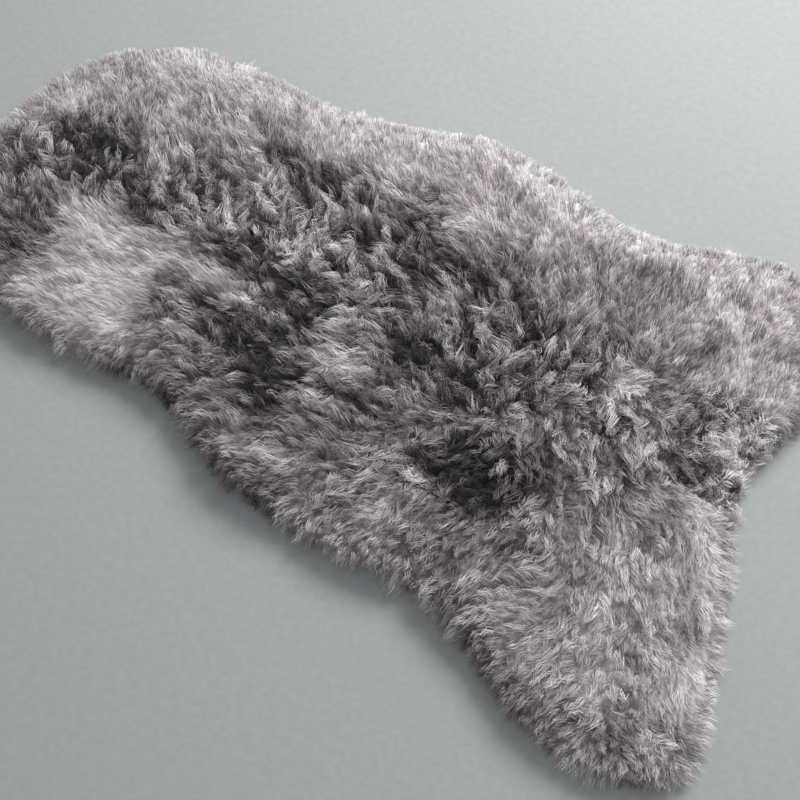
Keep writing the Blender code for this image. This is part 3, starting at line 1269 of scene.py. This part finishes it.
@dataclass
class Fleece:
    """The wool: tapered strands gathered in locks, and locks gathered in tufts.

    Attributes:
        shape: the hide's outline and depth.
        groom: how the wool is combed.
        tufts: how it parts into tufts.
        lock: how single locks depart from the lay.
        strand: how single strands depart from their lock.
        lock_spacing: distance between the roots of neighbouring locks.
        edge_rows: inset and spacing of each row of locks that closes the border.
        edge_loose: how far those locks stray along their row, against the spacing.
        strands: strands in a lock.
        steps: points along a strand's line, from which each kind of lay keeps some.
        strides: steps to each straight stretch of a strand, and the wave that is the
            most it suits.
        width: width of a strand before its lay's share and its taper.  A real fibre is
            about 0.03 mm wide, which is too fine to show.
        bands: how many pieces the fleece is made in, from the narrow end to the lobes.
        clump: where the wool is fuller or thinner, which also scallops its border.
        rng: the source of the unevenness from lock to lock.
    """

    shape: HideShape
    groom: Groom
    tufts: Tufts
    lock: LockHabit = LockHabit()
    strand: StrandHabit = StrandHabit()
    lock_spacing: float = 6.0 * MM
    edge_rows: tuple[tuple[float, float], ...] = (
        (1.5 * MM, 4.2 * MM), (5.0 * MM, 5.0 * MM), (10.0 * MM, 6.0 * MM))
    edge_loose: float = 0.4
    strands: int = 10
    steps: int = 12
    strides: tuple[tuple[int, float], ...] = ((4, 2.6 * MM), (3, 3.6 * MM), (2, math.inf))
    width: float = 0.80 * MM
    bands: int = 5
    clump: SmoothNoise = field(default_factory=lambda: SmoothNoise(0.020, SEED + 5))
    rng: np.random.Generator = field(default_factory=lambda: np.random.default_rng(SEED))

    def edge_roots(self) -> np.ndarray:
        """Roots of the extra locks that close the fleece's border."""
        ring = self.shape.ring
        closed = np.vstack([ring, ring[:1]])
        run = np.concatenate([[0.0], np.cumsum(np.linalg.norm(np.diff(closed, axis=0), axis=1))])
        rows = []
        for inset, spacing in self.edge_rows:
            places = np.arange(0.0, run[-1], spacing)
            loose = self.rng.uniform(-self.edge_loose, self.edge_loose, len(places))
            places = places + loose * spacing
            places %= run[-1]
            points = np.stack([np.interp(places, run, closed[:, k]) for k in (0, 1)], axis=1)
            rows.append(points - self.shape.outward(points) * inset)
        return np.vstack(rows)

    def lock_figures(self, roots: np.ndarray, border_lock: np.ndarray) -> dict[str, np.ndarray]:
        """Work out how each lock stands, before its curve.

        Args:
            roots: plan position of each lock's root.
            border_lock: which locks close the border.

        Returns:
            Each lock's heading, run, start, rise, tone and share of the border, the other
            figures of its lay, and its tuft's under names that start with tuft_.
        """
        rng, habit = self.rng, self.lock
        count = len(roots)
        style = self.groom.style(roots)
        tuft = self.tufts.at(roots)
        clump = self.clump.at(roots)
        depth = self.shape.height(roots)
        inset = np.maximum(self.shape.inset(roots), 0.0)
        border = np.clip(1.0 - inset / habit.border_width, 0.0, 1.0)

        turn = style["stray"] * (habit.tuft_turn * tuft["turn"]
                                 + habit.lock_turn * rng.normal(0.0, 1.0, count))
        turn = turn * (1.0 - habit.border_calm * border)
        heading = turned(self.groom.heading(roots), turn)
        run = style["run"] * depth * rng.uniform(*habit.length, count)
        contrast = style["contrast"]
        rise = depth * (style["rise"] + habit.tuft_rise * tuft["rise"]
                        + rng.normal(0.0, habit.lock_rise, count))

        # A tuft leans like a shingle, with painted light towards its raised tip and painted
        # shade at its start and in the clefts between tufts.
        rise = rise * (1.0 + habit.lead_rise * tuft["lead"] * contrast)
        rise = rise - habit.side_drop * contrast * np.abs(tuft["aside"])
        tuft_tone, clump_tone = (plain + more * contrast
                                 for plain, more in (habit.tuft_tone, habit.clump_tone))
        tone = (style["tone"] + self.groom.patch_tone(roots)
                + tuft_tone * tuft["tone"] + clump_tone * clump
                + contrast * (habit.lead_painted_light * tuft["lead"]
                              - habit.cleft_shade * tuft["cleft"]))

        filler = (rng.uniform(0.0, 1.0, count) < habit.filler_share) & ~border_lock
        run = np.where(filler, run * rng.uniform(*habit.filler_run, count), run)
        rise = np.where(filler, rise * rng.uniform(*habit.filler_rise, count), rise)
        tone = np.where(filler, tone - habit.filler_tone, tone)

        thick = self.groom.dense_height(roots)
        start = np.where(border_lock, thick * rng.uniform(*habit.border_start, count),
                         thick - habit.sunk)
        hang = start * rng.uniform(*habit.border_hang, count) + habit.border_tip
        rise = np.where(border_lock, hang, rise)
        rise = np.maximum(rise, np.where(border_lock, 0.0, start + habit.least))
        run = (run * (1.0 - border)
               + border * (habit.border_run + habit.border_slope * inset)
               * rng.uniform(*habit.border_length, count)
               * (1.0 + habit.border_scallop * clump))
        return {**style, **{f"tuft_{name}": value for name, value in tuft.items()},
                "heading": heading, "run": run, "start": start, "rise": rise,
                "tone": tone, "border": border}

    def lock_lines(self, roots: np.ndarray, border_lock: np.ndarray) -> dict[str, np.ndarray]:
        """Work out every lock's centre line.

        Args:
            roots: plan position of each lock's root.
            border_lock: which locks close the border.

        Returns:
            Lines (lock, point, xyz), and each lock's gather, tone, width, contrast and wave.
        """
        habit = self.lock
        lock = self.lock_figures(roots, border_lock)
        heading, run, wave = lock["heading"], lock["run"], lock["wave"][:, None]
        inner = 1.0 - lock["border"]
        share = np.linspace(0.0, 1.0, self.steps + 1)[None]

        onward = self.groom.heading(roots + heading * run[:, None] * habit.onward)
        side = np.stack([-heading[:, 1], heading[:, 0]], axis=1)
        out = share ** habit.out_power
        bend = habit.bend * share ** habit.bend_power
        plan = roots[:, None] + run[:, None, None] * (
            out[..., None] * heading[:, None]
            + bend[..., None] * (onward - heading)[:, None])
        phase = (habit.tuft_phase * lock["tuft_phase"]
                 + habit.lock_phase * self.rng.normal(0.0, 1.0, len(roots)))
        waves = habit.waves[0] + habit.waves[1] * lock["tuft_cycles"]
        angle = 2.0 * math.pi * waves[:, None] * share + phase[:, None]
        sway = wave * share ** habit.sway_power * (
            np.sin(angle) - np.sin(phase)[:, None] * (1.0 - share))
        arc = habit.arc * lock["stray"] * lock["tuft_bend"] * run * inner
        sway = sway + arc[:, None] * share ** habit.arc_power
        pull = lock["gather"] * lock["tuft_aside"] * inner
        pull = share ** habit.pull_power * pull[:, None]
        plan = (plan + sway[..., None] * side[:, None]
                - pull[..., None] * lock["tuft_across"][:, None])
        start, rise = lock["start"][:, None], lock["rise"][:, None]
        up = start + (rise - start) * np.sin(habit.arch * math.pi * share)
        up = up + habit.bob * wave * share * np.cos(angle + habit.bob_lag)
        return {"line": np.concatenate([plan, up[..., None]], axis=-1),
                **{name: lock[name] for name in ("gather", "tone", "width", "contrast", "wave")}}

    def strand_lines(self, lock: dict[str, np.ndarray]) -> dict[str, np.ndarray]:
        """Spread each lock's strands round its centre line.

        Args:
            lock: what lock_lines returned.

        Returns:
            Strand points (lock, strand, point, xyz), and each strand's tone, colour draw,
            width, contrast and wave.
        """
        rng, habit = self.rng, self.strand
        count, each = len(lock["line"]), self.strands
        share = np.linspace(0.0, 1.0, self.steps + 1)
        angle = rng.uniform(0.0, 2.0 * math.pi, (count, each))
        radius = (np.sqrt(rng.uniform(0.0, 1.0, (count, each)))
                  * self.lock_spacing * habit.spread)
        offset = np.stack([np.cos(angle) * radius, np.sin(angle) * radius], axis=-1)

        # The strands of one twist draw together towards its heart, and the hearts too.
        twist = np.arange(each) % habit.twists
        hearts = [offset[:, twist == one].mean(axis=1) for one in range(habit.twists)]
        heart = np.stack(hearts, axis=1)[:, twist]
        gather = lock["gather"][:, None, None]
        wide = 1.0 - gather * share[None, None] ** habit.gather_power
        narrow = 1.0 - habit.narrowing * share[None, None] ** habit.narrowing_power
        spread = (heart[:, :, None] * wide[..., None]
                  + (offset - heart)[:, :, None] * narrow[..., None])
        loose = rng.normal(0.0, 1.0, (count, each, 1, 3)) * habit.stray
        loose = loose * (1.0 - habit.held * lock["gather"])[:, None, None, None]
        loose = loose * share[None, None, :, None] ** habit.stray_power
        points = lock["line"][:, None] + loose
        points[..., :2] += spread
        reach = rng.uniform(*habit.length, (count, each, 1, 1))
        base = points[:, :, :1]
        points = base + (points - base) * reach

        # Stay between the floor and a little over the wool's crown.
        crown = np.maximum(self.shape.height(points[..., :2]) * habit.crown, habit.crown_least)
        height = points[..., 2]
        height = np.where(height > crown, crown + habit.crown_over * (height - crown), height)
        points[..., 2] = np.maximum(height, habit.floor)
        length = reach[..., 0, 0]
        tone = lock["tone"][:, None] + habit.length_tone * (length - habit.usual_length)
        contrast, wave = (np.broadcast_to(lock[name][:, None], tone.shape)
                          for name in ("contrast", "wave"))
        draw = 0.5 + contrast * (habit.lock_draw * rng.uniform(-0.5, 0.5, (count, 1))
                                 + habit.strand_draw * rng.uniform(-0.5, 0.5, (count, each)))
        width = lock["width"][:, None] * rng.uniform(*habit.width, (count, each))
        return {"points": points, "tone": tone, "draw": draw, "width": width,
                "contrast": contrast, "wave": wave}

    def stride(self, wave: np.ndarray) -> np.ndarray:
        """How many steps each straight stretch of a strand spans: fewer where it waves."""
        steps, limits = zip(*self.strides)
        return np.array(steps)[np.searchsorted(limits, wave)]

    def ribbons(self, strands: dict[str, np.ndarray], stride: int) -> dict[str, np.ndarray]:
        """Turn strand centre lines into tapered ribbons.

        Args:
            strands: points (strand, point, xyz), tone, draw, width and contrast.
            stride: how many steps each straight stretch spans.

        Returns:
            Corners of the ribbons, their quads and end triangles, each corner's values for
            the finish, and its place on the strand's own cell of the map.
        """
        points = strands["points"][:, ::stride]
        count, stops = points.shape[:2]
        share = np.linspace(0.0, 1.0, stops)
        tangent = unit(np.gradient(points, axis=1))
        roll = self.rng.normal(0.0, self.strand.roll, count)
        across = unit(np.cross(tangent, np.array([0.0, 0.0, 1.0])))
        lift = np.cross(across, tangent)
        side = across * np.cos(roll)[:, None, None] + lift * np.sin(roll)[:, None, None]
        taper = self.strand.root_width + self.strand.swell * share
        taper = taper * (1.0 - share ** self.strand.taper_power)
        half = 0.5 * self.width * taper[None, :, None] * strands["width"][:, None, None]
        left = (points - side * half)[:, :-1]
        right = (points + side * half)[:, :-1]
        pairs = np.stack([left, right], axis=2).reshape(count, -1, 3)
        verts = np.concatenate([pairs, points[:, -1:]], axis=1)
        each = verts.shape[1]
        quads = np.array([(2 * i, 2 * i + 1, 2 * i + 3, 2 * i + 2) for i in range(stops - 2)])
        start = np.arange(count)[:, None, None] * each
        ends = np.array([[each - 3, each - 2, each - 1]])
        along = np.concatenate([np.repeat(share[:-1], 2), [1.0]])

        # Each strand has a cell of the map to itself, less a margin all round.
        margin = 0.1
        across_cell = np.append(np.tile([margin, 1.0 - margin], stops - 1), 0.5)
        spot = np.stack([across_cell, margin + (1.0 - 2.0 * margin) * along], axis=1)
        contrast = strands["contrast"][:, None]
        return {"verts": verts.reshape(-1, 3),
                "quads": (quads[None] + start).reshape(-1, 4),
                "ends": (ends[None] + start).reshape(-1, 3),
                "along": (1.0 - contrast * (1.0 - along)).reshape(-1),
                "strand": np.repeat(strands["draw"], each),
                "tone": np.repeat(strands["tone"], each),
                "crimp": np.repeat(strands["contrast"], each),
                "cell": np.repeat(np.arange(count), each),
                "spot": np.tile(spot, (count, 1))}

    def band_mesh(self, name: str, strands: dict[str, np.ndarray]) -> bpy.types.Object:
        """Build one band of the fleece as one mesh.

        Args:
            name: the piece's name.
            strands: points (strand, point, xyz) and each strand's tone, draw, width,
                contrast and wave.

        Returns:
            The new object.
        """
        strides = self.stride(strands["wave"])
        parts = []
        for stride in np.unique(strides):
            chosen = strides == stride
            parts.append(self.ribbons({key: value[chosen] for key, value in strands.items()},
                                      int(stride)))
        joined = {key: np.concatenate([part[key] for part in parts])
                  for key in ("verts", "spot", *WOOL_VALUES)}
        starts = np.cumsum([0] + [len(part["verts"]) for part in parts[:-1]])
        quads, ends = (np.vstack([part[key] + start for part, start in zip(parts, starts)])
                       for key in ("quads", "ends"))
        firsts = np.cumsum([0] + [part["cell"][-1] + 1 for part in parts[:-1]])
        cells = np.concatenate([part["cell"] + first for part, first in zip(parts, firsts)])
        sizes = np.concatenate([np.full(len(quads), 4), np.full(len(ends), 3)])
        corners = np.concatenate([quads.reshape(-1), ends.reshape(-1)]).astype(np.int32)

        mesh = bpy.data.meshes.new(name)
        mesh.vertices.add(len(joined["verts"]))
        mesh.vertices.foreach_set("co", joined["verts"].reshape(-1).astype(np.float32))
        mesh.loops.add(len(corners))
        mesh.loops.foreach_set("vertex_index", corners)
        mesh.polygons.add(len(sizes))
        mesh.polygons.foreach_set(
            "loop_start", np.concatenate([[0], np.cumsum(sizes)[:-1]]).astype(np.int32))
        mesh.update(calc_edges=True)
        columns = math.ceil(math.sqrt(cells[-1] + 1))
        corner_cell = np.stack([cells % columns, cells // columns], axis=1)
        places = (corner_cell + joined["spot"]) / columns
        return finish_wool(mesh, places[corners], joined)

    def build(self) -> list[bpy.types.Object]:
        """Build the fleece's pieces, from the narrow end to the lobes."""
        inner = scatter(self.shape, self.rng, self.lock_spacing, 1.0 * MM)
        border = self.edge_roots()
        roots = np.vstack([inner, border])
        border_lock = np.arange(len(roots)) >= len(inner)
        strands = self.strand_lines(self.lock_lines(roots, border_lock))
        flat = {name: value.reshape(-1, *value.shape[2:]) for name, value in strands.items()}
        order = np.argsort(np.repeat(roots[:, 0], self.strands), kind="stable")

        # Each band takes the same number of triangles.
        faces = 2 * (self.steps // self.stride(flat["wave"][order])) - 1
        band = (np.cumsum(faces) * self.bands / (faces.sum() + 1)).astype(int)
        return [self.band_mesh(f"wool_band_{index + 1}",
                               {name: value[order[band == index]]
                                for name, value in flat.items()})
                for index in range(self.bands)]


@dataclass
class Undercoat:
    """The dense wool that the locks come out of, which closes the gaps between them.

    Attributes:
        shape: the hide's outline and depth.
        groom: how the wool is combed, and how high its dense part stands.
        tufts: how the wool parts into tufts.
        cell: spacing of its mesh.
        cleft_drop: how much lower it lies in a cleft, against its height.
        cleft_shade: painted shade there, how much darker it is.
        low_shade: painted shade down by the skin, how much darker it is there.
        low: height up to which that painted shade darkens it.
        contrast_pull: how far towards the root's colour the lay's contrast takes it.
    """

    shape: HideShape
    groom: Groom
    tufts: Tufts
    cell: float = 5.0 * MM
    cleft_drop: float = 0.22
    cleft_shade: float = 0.18
    low_shade: float = 0.20
    low: float = 25.0 * MM
    contrast_pull: float = 0.85

    def build(self) -> bpy.types.Object:
        """Lay a grid over the hide and draw its border down to the hide's edge."""
        low = self.shape.ring.min(axis=0)
        count = (np.ceil(np.ptp(self.shape.ring, axis=0) / self.cell) + 1).astype(int)
        points = plan_grid(low, count, self.cell)
        inset = self.shape.inset(points)
        inside = inset > 0.0
        whole = inside[:-1, :-1] & inside[1:, :-1] & inside[:-1, 1:] & inside[1:, 1:]
        uses = np.zeros(inset.shape, dtype=int)
        for i, j in ((0, 0), (1, 0), (0, 1), (1, 1)):
            uses[i:i + whole.shape[0], j:j + whole.shape[1]] += whole
        used = uses > 0
        border = used & (uses < 4)
        moved = points + self.shape.outward(points) * inset[..., None]
        plan = np.where(border[..., None], moved, points)
        flat = plan.reshape(-1, 2)
        cleft = self.groom.style(flat)["contrast"] * self.tufts.at(flat)["cleft"]
        height = self.groom.dense_height(flat) * (1.0 - self.cleft_drop * cleft)
        height = np.where(border, self.groom.rim, height.reshape(inset.shape))
        number = np.full(inset.shape, -1)
        number[used] = np.arange(used.sum())
        i, j = np.nonzero(whole)
        faces = np.stack([number[i, j], number[i + 1, j], number[i + 1, j + 1],
                          number[i, j + 1]], axis=1)
        verts = np.concatenate([plan, height[..., None]], axis=-1)[used]
        mesh = bpy.data.meshes.new("undercoat")
        mesh.from_pydata(verts.tolist(), [], faces.tolist())

        tone = self.groom.wool_tone(verts[:, :2])
        # Painted shade: darker in the clefts between tufts.
        tone = tone - self.cleft_shade * cleft.reshape(inset.shape)[used]
        # Painted shade: darker down by the skin.
        tone = tone - self.low_shade * np.clip(1.0 - verts[:, 2] / self.low, 0.0, 1.0)
        contrast = self.groom.style(verts[:, :2])["contrast"]
        places = (verts[:, :2] - low) / np.ptp(verts[:, :2], axis=0)
        corners = np.empty(len(mesh.loops), dtype=np.int32)
        mesh.loops.foreach_get("vertex_index", corners)
        return finish_wool(mesh, places[corners], {
            "along": 1.0 - self.contrast_pull * contrast,
            "strand": np.full(len(verts), 0.5), "tone": tone, "crimp": contrast})


@dataclass
class Pelt:
    """The tanned skin under the wool.

    Attributes:
        shape: the hide's outline and depth.
        thickness: how thick the tanned skin is.
    """

    shape: HideShape
    thickness: float = 2.0 * MM

    def build(self) -> bpy.types.Object:
        """Cut the skin along the hide's edge."""
        ring = self.shape.ring
        if self.shape.signed_area() < 0.0:
            ring = ring[::-1]
        count = len(ring)
        verts = [(x, y, z) for z in (0.0, self.thickness) for x, y in ring]
        under = tuple(reversed(range(count)))
        over = tuple(range(count, 2 * count))
        edge = [(k, (k + 1) % count, (k + 1) % count + count, k + count)
                for k in range(count)]
        mesh = bpy.data.meshes.new("pelt")
        mesh.from_pydata(verts, [], [under, over, *edge])
        return add_object("pelt", mesh)


# --------------------------------------------------------------------------
# The studio
# --------------------------------------------------------------------------
def aim(thing: bpy.types.Object, target: Vector, away: Vector, distance: float) -> None:
    """Place a camera or lamp so that it faces a point.

    Args:
        thing: the camera or lamp.
        target: the point.
        away: unit vector from the point towards the camera or lamp.
        distance: how far off it stands.
    """
    thing.location = target + away * distance
    thing.rotation_euler = (-away).to_track_quat("-Z", "Y").to_euler()


class Lamp(NamedTuple):
    """A round soft lamp that faces the rug: its place round the camera, and its light."""

    name: str
    azimuth: float
    elevation: float
    distance: float
    size: float
    power: float
    colour: str


@dataclass
class Studio:
    """Floor, lights and camera.

    Attributes:
        elevation: the camera's height above the horizon, in degrees.
        turn: how far the rug's length is turned in the picture, in degrees.
        distance: from the camera to the point that it looks at.
        target: that point, on the floor.
        field_of_view: the camera's angle of view, in degrees.
        floor_size: length of the floor's sides.
        floor_gap: how far the floor lies under the rug.
        lamps: the lamps, with azimuths from the camera's own side.
        air: colour of the light from all round.
        air_strength: strength of that light.
    """

    elevation: float = 60.0
    turn: float = -33.0
    distance: float = 1.5604
    target: tuple[float, float] = (0.0701, -0.0575)
    field_of_view: float = 30.0
    floor_size: float = 14.0
    floor_gap: float = 0.2 * MM
    lamps: tuple[Lamp, ...] = (Lamp("window", 140.0, 42.0, 2.4, 1.3, 80.0, "ffffff"),
                               Lamp("fill", 20.0, 60.0, 3.0, 2.5, 14.0, "f4f6ff"))
    air: str = "e8ecee"
    air_strength: float = 0.42

    def toward_camera(self, azimuth: float, elevation: float) -> Vector:
        """Unit vector at an angle from the camera's own side of the rug.

        Args:
            azimuth: degrees round from the camera, to the right in the picture.
            elevation: degrees above the floor.

        Returns:
            The direction from the rug.
        """
        plan = math.radians(-90.0 - self.turn + azimuth)
        up = math.radians(elevation)
        return Vector((math.cos(plan) * math.cos(up), math.sin(plan) * math.cos(up),
                       math.sin(up)))

    def set_camera(self) -> None:
        """Place the camera."""
        data = bpy.data.cameras.new("camera")
        data.angle = math.radians(self.field_of_view)
        camera = add_object("camera", data)
        away = self.toward_camera(0.0, self.elevation)
        aim(camera, Vector((*self.target, 0.0)), away, self.distance)
        bpy.context.scene.camera = camera

    def hang(self, lamp: Lamp) -> None:
        """Hang one soft lamp that faces the rug."""
        data = bpy.data.lights.new(lamp.name, "AREA")
        data.shape = "DISK"
        data.size = lamp.size
        data.energy = lamp.power
        data.color = linear(lamp.colour)[:3]
        away = self.toward_camera(lamp.azimuth, lamp.elevation)
        aim(add_object(lamp.name, data), Vector(), away, lamp.distance)

    def lay_floor(self) -> None:
        """Lay the floor."""
        bpy.ops.mesh.primitive_plane_add(size=self.floor_size,
                                         location=(0.0, 0.0, -self.floor_gap))
        floor = bpy.context.object
        floor.name = "floor"
        floor.data.materials.append(MattFloor().material())

    def build(self) -> None:
        """Set up the whole studio."""
        self.lay_floor()
        self.set_camera()
        for lamp in self.lamps:
            self.hang(lamp)
        world = bpy.data.worlds.new("studio_air")
        world.use_nodes = True
        connect(world.node_tree, world.node_tree.nodes["Background"], {
            "Color": linear(self.air), "Strength": self.air_strength})
        bpy.context.scene.world = world
        bpy.context.scene.view_settings.view_transform = "Standard"


def dress(piece: bpy.types.Object, material: bpy.types.Material) -> None:
    """Give a piece its material and hang it from the rug's body.

    Args:
        piece: the new piece.
        material: its finish.
    """
    piece.data.materials.clear()
    piece.data.materials.append(material)
    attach(piece, BODY)
    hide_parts(NODE)
    piece.data.calc_loop_triangles()
    log.info("%s: %d triangles", piece.name, len(piece.data.loop_triangles))


def main() -> None:
    """Build the rug and its studio."""
    logging.basicConfig(level=logging.INFO, format="%(message)s")
    shape = HideShape(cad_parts[NODE])
    groom = Groom(shape)
    tufts = Tufts(shape, groom)
    wool = DyedWool().material()
    fleece = Fleece(shape, groom, tufts).build()
    undercoat = Undercoat(shape, groom, tufts).build()
    for piece in (*fleece, undercoat):
        dress(piece, wool)
    pelt = Pelt(shape).build()
    dress(pelt, Suede().material())
    Studio().build()


if __name__ == "__main__":
    main()
